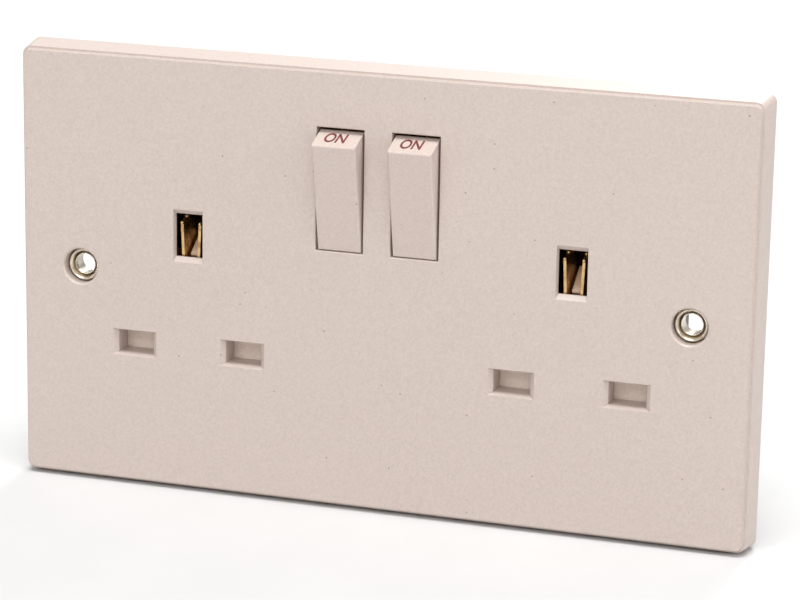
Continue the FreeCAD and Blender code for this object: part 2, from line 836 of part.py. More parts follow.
def line_contact(side, sign):
    body = new_body(f"line_contact_{side}")
    x_slot = outlet_x(sign) + d.pin_pitch / 2
    fork(body, "fork", x_slot)
    strip = facing(body, "strip", strip_front)
    lane, half = d.lane_width / 2, d.strip_width / 2
    start, near, far = rocker_x(sign) - sign * lane, x_slot - sign * half, x_slot + sign * half
    polygon(strip, [
        (start, tip_height + lane), (start, tip_height - lane), (near, tip_height - lane),
        (near, slot_height), (far, slot_height), (far, tip_height + lane),
    ])
    pad(body, strip, d.strip_sheet, away=True)

    tip = new_body(f"fixed_tip_{side}")
    button = facing(tip, "button", strip_front)
    circle(button, rocker_x(sign), tip_height, d.contact_tip)
    pad(tip, button, d.tip_thick + d.tip_gap)


def neutral_bar():
    body = new_body("neutral_bar")
    xs = [outlet_x(sign) - d.pin_pitch / 2 for _, sign in SIDES]
    for (side, _), x in zip(SIDES, xs):
        fork(body, f"fork_{side}", x)
    link = facing(body, "link", neutral_front)
    half, low = d.strip_width / 2, -d.neutral_low
    high, tab = low + d.neutral_width, slot_height - d.fork_root_half
    polygon(link, [
        (xs[0] - half, low), (xs[1] + half, low), (xs[1] + half, tab), (xs[1] - half, tab),
        (xs[1] - half, high), (xs[0] + half, high), (xs[0] + half, tab), (xs[0] - half, tab),
    ])
    pad(body, link, d.strip_sheet, away=True)
    tail = new_sketch(body, "terminal_tail", "YZ_Plane", -d.terminal_pitch - d.feed_tail_width / 2)
    run_low = -d.riser_run - d.strip_sheet
    polygon(tail, [
        (neutral_front, low), (neutral_front, -d.riser_run), (strip_back, -d.riser_run),
        (strip_back, -d.tab_end), (strip_front, -d.tab_end), (strip_front, run_low),
        (neutral_back, run_low), (neutral_back, low),
    ])
    pad(body, tail, d.feed_tail_width)


def earth_bar():
    body = new_body("earth_bar")
    bar = facing(body, "bar", earth_front)
    bar_low, bar_high = -d.earth_bar_low, d.earth_bar_width - d.earth_bar_low
    rectangle(bar, -d.earth_bar_half, d.earth_bar_half, bar_low, bar_high)
    pad(body, bar, d.earth_sheet, away=True)
    tail = new_sketch(body, "terminal_tail", "YZ_Plane", d.terminal_pitch - d.feed_tail_width / 2)
    run_low = -d.riser_run - d.strip_sheet
    polygon(tail, [
        (earth_front, bar_high), (earth_front, run_low), (strip_front, run_low),
        (strip_front, -d.tab_end), (strip_back, -d.tab_end), (strip_back, -d.riser_run),
        (earth_back, -d.riser_run), (earth_back, bar_high),
    ])
    pad(body, tail, d.feed_tail_width)

    bases = new_sketch(body, "fork_bases", "XY_Plane", d.fork_base_low)
    for _, sign in SIDES:
        half = d.leaf_back_half + d.leaf_sheet
        x = outlet_x(sign)
        rectangle(bases, x - half, x + half, front + d.fork_base_front, front + d.leaf_back)
    pad(body, bases, d.fork_base_sheet)
    for side, sign in SIDES:
        for hand in (-1, 1):
            leaf(body, f"leaf_{side}_{'a' if hand < 0 else 'b'}", outlet_x(sign), hand)


def leaf(body, name, x, hand):
    """One leaf of an earth fork: flared at the front, pinched at the throat, leaning in at the foot."""
    stations = (
        (d.leaf_front, d.leaf_front_low, d.leaf_front_high, d.leaf_top_front),
        (d.leaf_tip, d.leaf_tip_low, d.leaf_tip_high, d.leaf_top_tip),
        (d.leaf_throat, d.leaf_throat_low, d.leaf_throat_high, d.leaf_top),
        (d.leaf_back, d.leaf_back_half, d.leaf_back_half, d.leaf_top),
    )
    sections = []
    for i, (depth, low, high, top) in enumerate(stations):
        section = facing(body, f"{name}_{i}", front + depth)
        polygon(section, [
            (x + hand * low, d.fork_base_low),
            (x + hand * (low + d.leaf_sheet), d.fork_base_low),
            (x + hand * (high + d.leaf_sheet), top),
            (x + hand * high, top),
        ])
        sections.append(section)
    loft(body, "AdditiveLoft", sections)


def earth_strap(side, sign):
    body = new_body(f"earth_strap_{side}")
    run = new_sketch(body, "run", "XY_Plane", -d.strap_width / 2)
    hole_x, bend, end = d.fixing_pitch / 2, d.strap_bend, d.strap_end
    lap = earth_front - d.strap_sheet
    corners = [
        (hole_x, strap_front), (bend, strap_front), (bend, lap), (end, lap),
        (end, earth_front), (bend + d.strap_sheet, earth_front),
        (bend + d.strap_sheet, strap_back), (hole_x, strap_back),
    ]
    polygon(run, [(sign * x, y) for x, y in corners])
    pad(body, run, d.strap_width)
    ring = facing(body, "ring", strap_front)
    circle(ring, sign * hole_x, 0, d.strap_ring)
    pad(body, ring, d.strap_sheet, away=True)
    hole = facing(body, "ring_hole", strap_front)
    circle(hole, sign * hole_x, 0, d.eyelet_tube + 2 * d.running_gap)
    pocket(body, hole, d.strap_sheet)


def fixing_eyelet(side, sign):
    body = new_body(f"fixing_eyelet_{side}")
    place(body, (sign * d.fixing_pitch / 2, 0, 0))
    bore, tube = d.eyelet_bore / 2, d.eyelet_tube / 2
    flange, rivet = d.eyelet_flange / 2, d.eyelet_rivet / 2
    nose, shoulder = boss_back - d.eyelet_nose, boss_back - d.eyelet_nose + d.eyelet_bevel
    lip, lip_inside = d.eyelet_lip / 2, d.eyelet_lip / 2 - d.eyelet_lip_wall
    rivet_end = strap_back + d.eyelet_rivet_depth
    revolve(body, "section", [
        (bore, nose + d.eyelet_funnel), (lip_inside, shoulder), (lip_inside + d.eyelet_bevel, nose),
        (lip - d.eyelet_bevel, nose), (lip, shoulder), (lip, boss_back), (flange, boss_back),
        (flange, strap_front), (tube, strap_front), (tube, strap_back), (rivet, strap_back),
        (rivet, rivet_end), (bore, rivet_end),
    ])


# Shutters

def shutter(side, sign):
    body = new_body(f"shutter_{side}")
    x, half, web, web_top = outlet_x(sign), d.shutter_half, d.shutter_web_half, d.shutter_web_top
    flap = facing(body, "flap", shutter_front)
    polygon(flap, [
        (x - half, flap_low), (x + half, flap_low), (x + half, flap_top), (x + web, flap_top),
        (x + web, web_top), (x - web, web_top), (x - web, flap_top), (x - half, flap_top),
    ])
    pad(body, flap, d.shutter_sheet, away=True)
    tongue = new_sketch(body, "tongue", "YZ_Plane", x - d.shutter_tongue / 2)
    ramp_front, ramp_back = front + d.ramp_front, front + d.ramp_back
    tail, foot, root = ramp_back + d.ramp_tail, d.ramp_low - d.shutter_sheet, web_top - d.shutter_sheet
    polygon(tongue, [
        (ramp_front, d.ramp_low), (ramp_back, d.ramp_high), (tail, d.ramp_high),
        (tail, d.ramp_high - d.shutter_sheet), (shutter_back, foot), (shutter_back, root),
        (shutter_front, root), (shutter_front, foot), (ramp_front, d.ramp_low - d.ramp_tail),
    ])
    pad(body, tongue, d.shutter_tongue)
    spigot = new_sketch(body, "spring_spigot", "XY_Plane", flap_low)
    circle(spigot, x, spring_y, d.spring_spigot)
    pad(body, spigot, d.spring_spigot_reach, away=True)


def shutter_spring(side, sign):
    body = new_body(f"shutter_spring_{side}")
    place(body, (outlet_x(sign), spring_y, 0))
    coil_spring(
        body, "wire", "XZ_Plane", spring_seat, d.spring_length,
        d.shutter_spring, d.shutter_wire, d.shutter_coils,
    )


# Rear housing

def housing_outline(sketch, inset, low_step=False):
    """The housing's outline, set in by inset, stepped over the terminal bays where low_step is set."""
    half, notch = d.housing_half - inset, d.lug_notch_half - inset
    top, low, tall = d.housing_top - inset, inset - d.housing_low, d.lug_notch_tall + inset
    right = [(half, low), (half, -tall), (notch, -tall), (notch, tall), (half, tall), (half, top)]
    left = [(-x, z) for x, z in reversed(right)]
    step = []
    if low_step:
        bay, roof = d.bay_half + d.bay_wall, d.bay_wall - d.bay_top
        step = [(-bay, low), (-bay, roof), (bay, roof), (bay, low)]
    polygon(sketch, right + left + step)


def rear_housing():
    body = new_body("rear_housing")
    outline = facing(body, "outline", -d.housing_front)
    housing_outline(outline, as_size(0))
    pad(body, outline, d.housing_front + d.housing_back, away=True)
    outer = (d.housing_half.value, -d.housing_low.value, d.housing_top.value)

    def is_corner(edge):
        ends = [vertex.Point for vertex in edge.Vertexes]
        upright = abs(ends[0].x - ends[-1].x) + abs(ends[0].z - ends[-1].z) < 1e-6
        near = min(abs(ends[0].z - outer[1]), abs(ends[0].z - outer[2])) < 1e-6
        return upright and near and abs(abs(ends[0].x) - outer[0]) < 1e-6

    round_edges(body, d.housing_corner, is_corner)
    cavity = facing(body, "cavity", -d.housing_front)
    housing_outline(cavity, d.housing_wall, low_step=True)
    pocket(body, cavity, d.housing_front + floor_inside)

    bay_floor = strip_front - d.bay_wall
    shallow = facing(body, "shallow_bay", -d.housing_front)
    bay = d.bay_half + d.bay_wall
    rectangle(shallow, -bay, bay, d.housing_wall - d.housing_low, d.bay_wall - d.bay_top)
    pocket(body, shallow, d.housing_front + bay_floor)

    bays = facing(body, "terminal_bays", d.housing_back)
    edges = [-d.bay_half, -d.terminal_pitch / 2, d.terminal_pitch / 2, d.bay_half]
    for i in range(3):
        low = edges[i] + (d.bay_fin / 2 if i else 0)
        high = edges[i + 1] - (d.bay_fin / 2 if i < 2 else 0)
        rectangle(bays, low, high, -d.housing_low - d.bay_wall, -d.bay_top)
    pocket(body, bays, d.housing_back - strip_front, along_normal=True)

    ribs_to(body, "strip_ribs", strip_back, strip_ribs())
    ribs_to(body, "partitions", shutter_back + d.partition_gap, partitions())
    keeper_low, keeper_high = d.rocker_height - d.keeper_half, d.rocker_height + d.keeper_half
    keepers = [(low, high, keeper_low, keeper_high) for low, high in cheek_spans()]
    ribs_to(body, "trunnion_keepers", cheek_back + d.keeper_gap, keepers)
    bar_low, bar_high = -d.earth_bar_low, d.earth_bar_width - d.earth_bar_low
    stand_xs = [sign * x for x in (d.earth_stand, d.earth_bar_half - d.rib_wall) for _, sign in SIDES]
    earth_stands = [(x - d.rib_wall / 2, x + d.rib_wall / 2, bar_low, bar_high) for x in stand_xs]
    ribs_to(body, "earth_stands", earth_back, earth_stands)
    neutral_high = d.neutral_width - d.neutral_low
    stand_x = -(d.outlet_pitch / 2)
    neutral_stand = [(stand_x - d.rib_wall / 2, stand_x + d.rib_wall / 2, -d.neutral_low, neutral_high)]
    ribs_to(body, "neutral_stand", neutral_back, neutral_stand)
    bay_stand = facing(body, "bay_stand", bay_floor)
    stand_low, stand_high = d.rib_wall - d.neutral_low, neutral_high - d.rib_wall
    rectangle(bay_stand, -d.lower_screw_x, d.lower_screw_x, stand_low, stand_high)
    pad(body, bay_stand, bay_floor - neutral_back)

    posts = facing(body, "screw_posts", floor_inside)
    for x, z in screw_places:
        circle(posts, x, z, d.housing_post)
    pad(body, posts, floor_inside - (skin_back + d.plate_post_reach + d.post_gap))
    holes = facing(body, "screw_holes", d.housing_back)
    for x, z in screw_places:
        circle(holes, x, z, d.screw_clearance)
    pocket(body, holes, d.housing_back - skin_back, along_normal=True)
    counterbores = facing(body, "screw_counterbores", d.housing_back)
    for x, z in screw_places:
        circle(counterbores, x, z, d.screw_counterbore)
    pocket(body, counterbores, d.housing_floor, along_normal=True)

    slots = new_sketch(body, "tab_slots", "XY_Plane", -d.bay_top)
    half = d.feed_tail_width / 2 + d.tab_slot_gap
    for step in (-1, 0, 1):
        x = step * d.terminal_pitch
        rectangle(slots, x - half, x + half, strip_front - d.tab_slot_gap, strip_back + d.tab_slot_gap)
    pocket(body, slots, d.bay_wall, along_normal=True)


def strip_ribs():
    """Ribs under the strips and the fork roots, as low and high X, then low and high Z."""
    thin = d.rib_wall / 2
    link = d.feed_link_low + d.feed_link_width / 2
    ribs = [
        (-d.feed_link_half + d.rib_wall, d.feed_link_half - d.rib_wall, link - thin, link + thin),
        (-thin, thin, d.bay_wall - d.bay_top, d.feed_link_low),
    ]
    half = d.strip_width / 2 - thin
    for x in slot_xs():
        ribs.append((x - half, x + half, slot_height - half, slot_height + half))
    for _, sign in SIDES:
        x_slot = outlet_x(sign) + d.pin_pitch / 2
        ribs.append((x_slot - thin, x_slot + thin, slot_height + half, tip_height - thin))
        low, high = in_order(rocker_x(sign), x_slot)
        ribs.append((low, high, tip_height - thin, tip_height + thin))
    return ribs


def partitions():
    """Walls between the forks and the middle of each outlet, which also keep the shutters in."""
    walls = []
    for _, sign in SIDES:
        for hand in (-1, 1):
            x = outlet_x(sign) + hand * d.partition_offset
            walls.append((x - d.rib_wall / 2, x + d.rib_wall / 2, -d.partition_low, -d.partition_high))
    return walls


def ribs_to(body, name, y, rectangles):
    """Ribs that stand on the inside of the housing's back and reach forward to Y = y."""
    sketch = facing(body, name, floor_inside)
    for corners in rectangles:
        rectangle(sketch, *corners)
    pad(body, sketch, floor_inside - y)


# Terminals and screws

def terminal(name, step):
    body = new_body(f"{name}_terminal")
    x, top_y = step * d.terminal_pitch, strip_back + d.terminal_tall
    block = facing(body, "block", strip_back)
    rectangle(block, x - d.terminal_half, x + d.terminal_half, -d.terminal_low, -d.terminal_high)
    pad(body, block, d.terminal_tall, away=True)
    cable = new_sketch(body, "cable_bore", "XY_Plane", -d.terminal_low)
    circle(cable, x, strip_back + d.cable_axis, d.cable_bore)
    pocket(body, cable, d.terminal_low - d.terminal_high, along_normal=True)
    middle = -(d.terminal_low + d.terminal_high) / 2
    thread = facing(body, "screw_thread", top_y)
    circle(thread, x, middle, d.terminal_thread)
    pocket(body, thread, d.terminal_tall - d.cable_axis, along_normal=True)

    screw = new_body(f"{name}_terminal_screw")
    place(screw, (x, top_y, middle))
    shank, head = d.terminal_shank / 2, d.terminal_head / 2
    tip = d.terminal_tall - d.cable_axis - d.cable_bore / 2 - d.running_gap
    slotted_screw(screw, tip, shank, head, d.terminal_head_tall)


def slotted_screw(screw, tip, shank, head, head_top):
    """A screw along the body's Y axis, with its head's seat at the body's origin."""
    revolve(screw, "section", [
        (0, -tip), (shank, -tip), (shank, 0), (head, 0), (head, head_top), (0, head_top),
    ])
    slot = facing(screw, "driver_slot", head_top)
    rectangle(slot, -head - d.driver_slot, head + d.driver_slot, -d.driver_slot / 2, d.driver_slot / 2)
    pocket(screw, slot, d.driver_slot_depth, along_normal=True)


def housing_screws():
    screws = []
    for i, (x, z) in enumerate(screw_places):
        screw = new_body(f"housing_screw_{i}")
        parts.remove(screw)
        place(screw, (x, floor_inside, z))
        shank, head = d.screw_shank / 2, d.screw_head / 2
        tip = floor_inside - (skin_back + d.plate_post_reach - d.screw_grip)
        slotted_screw(screw, tip, shank, head, d.screw_head_tall)
        screws.append(screw)
    group = doc.addObject("Part::Compound", "housing_screws")
    group.Label = "housing_screws"
    group.Links = screws
    parts.append(group)


front_plate()
rear_housing()
for side, sign in SIDES:
    rocker(side, sign)
    plunger(side, sign)
    plunger_spring(side, sign)
    contact_arm(side, sign)
    line_contact(side, sign)
    earth_strap(side, sign)
    fixing_eyelet(side, sign)
    shutter(side, sign)
    shutter_spring(side, sign)
line_feed_bar()
neutral_bar()
earth_bar()
for name, step in (("neutral", -1), ("line", 0), ("earth", 1)):
    terminal(name, step)
housing_screws()
doc.recompute()

for item in doc.Objects:
    if "Invalid" in item.State or "Error" in item.State:
        raise ValueError(f"{item.Label} failed: {item.State}")
for item in parts:
    if item.Shape.isNull() or not item.Shape.isValid():
        raise ValueError(f"{item.Label} has no valid shape")

os.makedirs("parts", exist_ok=True)
for item in parts:
    item.Shape.exportStep(f"parts/{item.Label}.step")
    print(item.Label, len(item.Shape.Solids), "solids", round(item.Shape.Volume, 1), "mm3")
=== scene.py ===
# %% [markdown]
# # A twin wall socket, dressed around its CAD solids
# The solids already have the right shapes and sizes, so this lesson is mostly about finish: cream
# moulding that is a little uneven, pressed brass behind the openings and a dark moulded back. A few
# small pieces are added, such as the print on the switches. The frame is loaded first. Every object is
# in metres: X to the right seen from the front, Y into the wall, Z up.

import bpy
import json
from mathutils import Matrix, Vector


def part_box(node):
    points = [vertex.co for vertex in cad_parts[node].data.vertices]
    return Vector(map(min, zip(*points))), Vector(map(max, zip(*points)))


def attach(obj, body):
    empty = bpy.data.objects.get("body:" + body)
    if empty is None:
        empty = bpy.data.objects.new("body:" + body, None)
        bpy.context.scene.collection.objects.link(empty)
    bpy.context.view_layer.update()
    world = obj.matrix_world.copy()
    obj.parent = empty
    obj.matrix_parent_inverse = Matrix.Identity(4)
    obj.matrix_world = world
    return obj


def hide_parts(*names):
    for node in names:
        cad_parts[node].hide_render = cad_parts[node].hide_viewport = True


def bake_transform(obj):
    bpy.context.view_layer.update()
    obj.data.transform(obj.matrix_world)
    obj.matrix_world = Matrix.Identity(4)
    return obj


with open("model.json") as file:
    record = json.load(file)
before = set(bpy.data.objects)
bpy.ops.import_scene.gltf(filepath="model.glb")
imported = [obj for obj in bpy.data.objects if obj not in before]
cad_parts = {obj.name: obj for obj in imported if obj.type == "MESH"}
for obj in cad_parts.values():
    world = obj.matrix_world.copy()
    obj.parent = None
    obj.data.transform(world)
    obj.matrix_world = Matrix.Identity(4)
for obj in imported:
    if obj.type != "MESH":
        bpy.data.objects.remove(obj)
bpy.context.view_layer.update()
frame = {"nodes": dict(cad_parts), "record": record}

import json
import math

import bmesh
import bpy
from mathutils import Matrix, Vector

scene = bpy.context.scene
record = frame["record"]
MM = 0.001

# %% [markdown]
# ## Camera
# The photograph is taken with a long lens, a little to the right of the socket and a little above it,
# and the camera leans by about one degree. A camera could be moved about until the picture looks right.
# Here its place was worked out from the corners and the holes of the plate, whose real distances are
# known.

# %% Camera
CAMERA_PLACE = Vector((180.42, -545.99, 149.1)) * MM
CAMERA_AIM = Vector((4.85, -7.3, -0.29)) * MM
CAMERA_ROLL = math.radians(1.02)
CAMERA_LENS = 140.8
SENSOR_WIDTH = 36.0
NEAREST_SEEN = 10 * MM

camera_data = bpy.data.cameras.new("photo_camera")
camera_data.lens = CAMERA_LENS
camera_data.sensor_width = SENSOR_WIDTH
camera_data.clip_start = NEAREST_SEEN
camera = bpy.data.objects.new("photo_camera", camera_data)
scene.collection.objects.link(camera)
look = (CAMERA_AIM - CAMERA_PLACE).to_track_quat("-Z", "Y").to_matrix().to_4x4()
camera.matrix_world = Matrix.Translation(CAMERA_PLACE) @ look @ Matrix.Rotation(CAMERA_ROLL, 4, "Z")
scene.camera = camera
print("camera", round((CAMERA_AIM - CAMERA_PLACE).length, 3), "m from the plate")

# %% [markdown]
# ## Floor and light
# The picture has a white ground and soft light: the top edge of the plate is the brightest part, the
# openings are lit to their backs, and each switch leaves a faint shadow on its right. One bright sky
# could give the levels, but no shadows. Here a pale surround fills the recesses, and large lamps make
# the soft shadows: a strong one above and in front, two in front at middle height whose light reaches
# into the openings, one for the right edge, and one for the ground behind.

# %% Floor
FLOOR_SIZE = 8.0
plate_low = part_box("front_plate")[0]


def flat_sheet(name, size, centre):
    half = size / 2
    mesh = bpy.data.meshes.new(name)
    corners = [(-half, -half, 0), (half, -half, 0), (half, half, 0), (-half, half, 0)]
    mesh.from_pydata(corners, [], [(0, 1, 2, 3)])
    sheet = bpy.data.objects.new(name, mesh)
    sheet.location = centre
    scene.collection.objects.link(sheet)
    return sheet


floor = flat_sheet("studio_floor", FLOOR_SIZE, (0, 0, plate_low.z))
print("floor at", round(plate_low.z / MM, 2), "mm")

# %% Light
SURROUND = 0.48
SURROUND_TINT = (1.0, 0.995, 0.985, 1.0)
OBJECT_CENTRE = (0, 0, 0)
GROUND_BEHIND = (0, 0.9, 0)
LAMPS = [
    # name, power in watts, width in metres, place and aim
    ("top_lamp", 26.0, 1.0, (0.1, -0.45, 1.8), OBJECT_CENTRE),
    ("left_lamp", 3.1, 0.5, (-0.36, -1.14, 0.75), OBJECT_CENTRE),
    ("front_lamp", 2.8, 0.5, (0.36, -1.14, 0.75), OBJECT_CENTRE),
    ("right_lamp", 3.9, 0.6, (1.2, -0.25, 0.5), OBJECT_CENTRE),
    ("ground_lamp", 20.0, 0.6, (0, 1.6, 1.0), GROUND_BEHIND),
]

world = bpy.data.worlds.new("white_surround")
world.use_nodes = True
backdrop = world.node_tree.nodes["Background"]
backdrop.inputs["Color"].default_value = SURROUND_TINT
backdrop.inputs["Strength"].default_value = SURROUND
scene.world = world
scene.view_settings.view_transform = "Standard"


def area_lamp(name, power, size, place, aim):
    lamp_data = bpy.data.lights.new(name, "AREA")
    lamp_data.energy = power
    lamp_data.shape = "DISK"
    lamp_data.size = size
    lamp = bpy.data.objects.new(name, lamp_data)
    lamp.location = place
    lamp.rotation_euler = (Vector(aim) - Vector(place)).to_track_quat("-Z", "Y").to_euler()
    scene.collection.objects.link(lamp)


for lamp_facts in LAMPS:
    area_lamp(*lamp_facts)
print(len(LAMPS), "lamps of", sum(lamp_facts[1] for lamp_facts in LAMPS), "W together")

# %% [markdown]
# ## Node helpers
# Every finish below is built from a few parts: noise at a real scale, a range that the noise is mapped
# to, a colour ramp, and a relief that tilts the surface. Noise reads Object coordinates, and each
# solid's object sits at the origin, so a noise scale of 1000 means a pattern of about a millimetre on
# every piece.


# %% Node helpers
def linear(red, green, blue):
    """A colour given as 0 to 255 on a screen, as the linear light values that shaders use."""
    def channel(value):
        value /= 255
        return value / 12.92 if value <= 0.04045 else ((value + 0.055) / 1.055) ** 2.4
    return (channel(red), channel(green), channel(blue), 1.0)


def new_finish(name):
    finish = bpy.data.materials.new(name)
    finish.use_nodes = True
    tree = finish.node_tree
    return finish, tree, tree.nodes["Principled BSDF"]


def surface_place(tree, stretch=(1, 1, 1)):
    place = tree.nodes.new("ShaderNodeTexCoord")
    mapping = tree.nodes.new("ShaderNodeMapping")
    mapping.inputs["Scale"].default_value = stretch
    tree.links.new(place.outputs["Object"], mapping.inputs["Vector"])
    return mapping.outputs["Vector"]


def grain(tree, per_metre, detail, stretch=(1, 1, 1)):
    """Noise from 0 to 1, with about per_metre bumps in a metre."""
    noise = tree.nodes.new("ShaderNodeTexNoise")
    noise.inputs["Scale"].default_value = per_metre
    noise.inputs["Detail"].default_value = detail
    tree.links.new(surface_place(tree, stretch), noise.inputs["Vector"])
    return noise.outputs["Fac"]


def ranged(tree, value, from_range, to_range):
    node = tree.nodes.new("ShaderNodeMapRange")
    for name, number in zip(("From Min", "From Max", "To Min", "To Max"), (*from_range, *to_range)):
        node.inputs[name].default_value = number
    tree.links.new(value, node.inputs["Value"])
    return node.outputs["Result"]


def ramp(tree, value, positions, colours):
    """A colour ramp with one colour at each of two positions."""
    node = tree.nodes.new("ShaderNodeValToRGB")
    for element, position, colour in zip(node.color_ramp.elements, positions, colours):
        element.position = position
        element.color = colour
    tree.links.new(value, node.inputs["Fac"])
    return node.outputs["Color"]


def mixed(tree, factor, first, second):
    """Goes from the first colour to the second as factor goes from 0 to 1."""
    node = tree.nodes.new("ShaderNodeMix")
    node.data_type = "RGBA"
    tree.links.new(factor, node.inputs["Factor"])
    for name, colour in (("A", first), ("B", second)):
        socket = next(item for item in node.inputs if item.name == name and item.type == "RGBA")
        if isinstance(colour, tuple):
            socket.default_value = colour
        else:
            tree.links.new(colour, socket)
    return next(item for item in node.outputs if item.type == "RGBA")


def relief(tree, shader, height, depth, strength, edge=0.0):
    """Tilts the surface by a height pattern, and softens sharp edges by a small radius."""
    bump = tree.nodes.new("ShaderNodeBump")
    bump.inputs["Distance"].default_value = depth
    bump.inputs["Strength"].default_value = strength
    tree.links.new(height, bump.inputs["Height"])
    if edge:
        soft = tree.nodes.new("ShaderNodeBevel")
        soft.inputs["Radius"].default_value = edge
        tree.links.new(soft.outputs["Normal"], bump.inputs["Normal"])
    tree.links.new(bump.outputs["Normal"], shader.inputs["Normal"])


def tinted(colour, red, green, blue):
    """A colour with each channel made darker or lighter by its own factor."""
    return (colour[0] * red, colour[1] * green, colour[2] * blue, 1.0)


def shade(colour, factor):
    """A colour with all channels made darker or lighter by one factor."""
    return tinted(colour, factor, factor, factor)


NOISE_SPAN = (0.3, 0.7)
print("node helpers ready, noise taken from", *NOISE_SPAN)

# %% [markdown]
# ## Cream moulding
# The plate and the rockers are pressed from a thermosetting powder. It gives a hard, slightly satin
# surface that is not one colour: the tone drifts over a few centimetres, is mottled at about a
# millimetre, shows the powder at a few tenths of one, and holds a few dark specks. A painted image
# could hold all of this, but it would blur close up. Here each of these is a noise of its own, and the
# specks are the centres of a cell pattern, most of them kept by the random colour that each cell has.


# %% Cream moulding
def specks(tree, per_metre, radius, kept):
    """Round dots, one at most in each cell, of which only the share given by kept is shown."""
    cells = tree.nodes.new("ShaderNodeTexVoronoi")
    cells.inputs["Scale"].default_value = per_metre
    tree.links.new(surface_place(tree), cells.inputs["Vector"])
    rim = radius * per_metre
    dot = ranged(tree, cells.outputs["Distance"], (rim, rim / 2), (0, 1))
    chance = tree.nodes.new("ShaderNodeSeparateColor")
    tree.links.new(cells.outputs["Color"], chance.inputs["Color"])
    allowed = tree.nodes.new("ShaderNodeMath")
    allowed.operation = "LESS_THAN"
    allowed.inputs[1].default_value = kept
    tree.links.new(chance.outputs["Red"], allowed.inputs[0])
    shown = tree.nodes.new("ShaderNodeMath")
    shown.operation = "MULTIPLY"
    tree.links.new(dot, shown.inputs[0])
    tree.links.new(allowed.outputs["Value"], shown.inputs[1])
    return shown.outputs["Value"]


DRIFT_SPAN = (0.35, 0.65)
DRIFT_DARK, DRIFT_PALE = 0.985, 1.012
MOTTLE_WARMTH = (0.95, 0.915, 0.89)
MOTTLE_SHARE = 0.52
POWDER_PALE = 1.16
POWDER_SHARE = 0.66
SPECK_BROWN = linear(136, 118, 108)
RESIN_IOR = 1.54


def cream_moulding(name, colour, gloss):
    finish, tree, shader = new_finish(name)
    tones = (shade(colour, DRIFT_DARK), shade(colour, DRIFT_PALE))
    drift = ramp(tree, grain(tree, per_metre=18, detail=1), DRIFT_SPAN, tones)
    mottle = ranged(tree, grain(tree, per_metre=800, detail=3), NOISE_SPAN, (0, MOTTLE_SHARE))
    mottled = mixed(tree, mottle, drift, tinted(colour, *MOTTLE_WARMTH))
    powder = ranged(tree, grain(tree, per_metre=2400, detail=2), NOISE_SPAN, (0, POWDER_SHARE))
    grained = mixed(tree, powder, mottled, shade(colour, POWDER_PALE))
    dots = specks(tree, per_metre=240, radius=0.2 * MM, kept=0.9)
    tree.links.new(mixed(tree, dots, grained, SPECK_BROWN), shader.inputs["Base Color"])
    satin = ranged(tree, grain(tree, per_metre=420, detail=2), NOISE_SPAN, gloss)
    tree.links.new(satin, shader.inputs["Roughness"])
    shader.inputs["IOR"].default_value = RESIN_IOR
    skin = grain(tree, per_metre=2600, detail=2)
    relief(tree, shader, skin, depth=0.02 * MM, strength=0.35, edge=0.12 * MM)
    return finish


finishes = {
    "plate_cream": cream_moulding("plate_cream", linear(195, 181, 173), (0.42, 0.52)),
    "rocker_cream": cream_moulding("rocker_cream", linear(198, 183, 175), (0.56, 0.66)),
    "shutter_cream": cream_moulding("shutter_cream", linear(247, 232, 220), (0.48, 0.58)),
}
print("cream finishes", sorted(finishes))

# %% [markdown]
# ## Painted brass light on the ramps
# Behind each earth opening a ramp of the shutter stands between two brass leaves, and the warm light
# they reflect onto it is painted into its colour. The flaps below, in the two slots, stay without it. A
# second material could be given to the ramp's faces. Here the one finish changes with height, so there
# is no line where it begins.

# %% Painted brass light on the ramps
# Painted light: the heights where the painted reflection of the brass starts and is full, its share and its
# warm tint.
BRASS_LIGHT_STARTS, BRASS_LIGHT_IS_FULL = -5.0 * MM, 2.0 * MM
BRASS_LIGHT_SHARE = 0.55
BRASS_LIGHT_TINT = linear(206, 158, 108)


# Paints warm light reflected from the brass leaves into the shutter's colour, stronger with height.
def paint_brass_light(finish):
    tree = finish.node_tree
    colour = tree.nodes["Principled BSDF"].inputs["Base Color"]
    without_brass_light = colour.links[0].from_socket
    parts = tree.nodes.new("ShaderNodeSeparateXYZ")
    tree.links.new(surface_place(tree), parts.inputs["Vector"])
    # Mask of the painted brass reflection: none low down, full near the top of the ramp.
    brass_light_and_rubbed_marks = ranged(tree, parts.outputs["Z"], (BRASS_LIGHT_STARTS, BRASS_LIGHT_IS_FULL), (0, BRASS_LIGHT_SHARE))
    tree.links.new(mixed(tree, brass_light_and_rubbed_marks, without_brass_light, BRASS_LIGHT_TINT), colour)


# The shutter's ramps get painted brass light.
paint_brass_light(finishes["shutter_cream"])
print("ramps rubbed above", round(BRASS_LIGHT_STARTS / MM, 1), "mm")

# %% [markdown]
# ## Dark back and white plunger
# The rear housing is a dark grey-brown moulding with a dull skin and faint flow marks. The plungers
# are moulded in white acetal, which is slightly waxy. One flat colour would do from afar, but a plain
# dark surface looks like a hole in the picture, so stretched noise draws the flow marks and a finer one
# the dust.

# %% Dark back and white plunger
DUST_SPAN = (0.62, 0.8)
DUST_SHARE = 0.25
DUST_GREY = linear(132, 125, 117)
DULL_SKIN = (0.42, 0.6)
WAXY_SKIN = (0.35, 0.45)


def dark_moulding(name, deep, pale):
    finish, tree, shader = new_finish(name)
    flow = grain(tree, per_metre=60, detail=4, stretch=(1, 1, 0.35))
    tone = ramp(tree, flow, NOISE_SPAN, (deep, pale))
    dust = ranged(tree, grain(tree, per_metre=1400, detail=4), DUST_SPAN, (0, DUST_SHARE))
    tree.links.new(mixed(tree, dust, tone, DUST_GREY), shader.inputs["Base Color"])
    dull = ranged(tree, grain(tree, per_metre=500, detail=3), NOISE_SPAN, DULL_SKIN)
    tree.links.new(dull, shader.inputs["Roughness"])
    skin = grain(tree, per_metre=2200, detail=3)
    relief(tree, shader, skin, depth=0.03 * MM, strength=0.4, edge=0.15 * MM)
    return finish


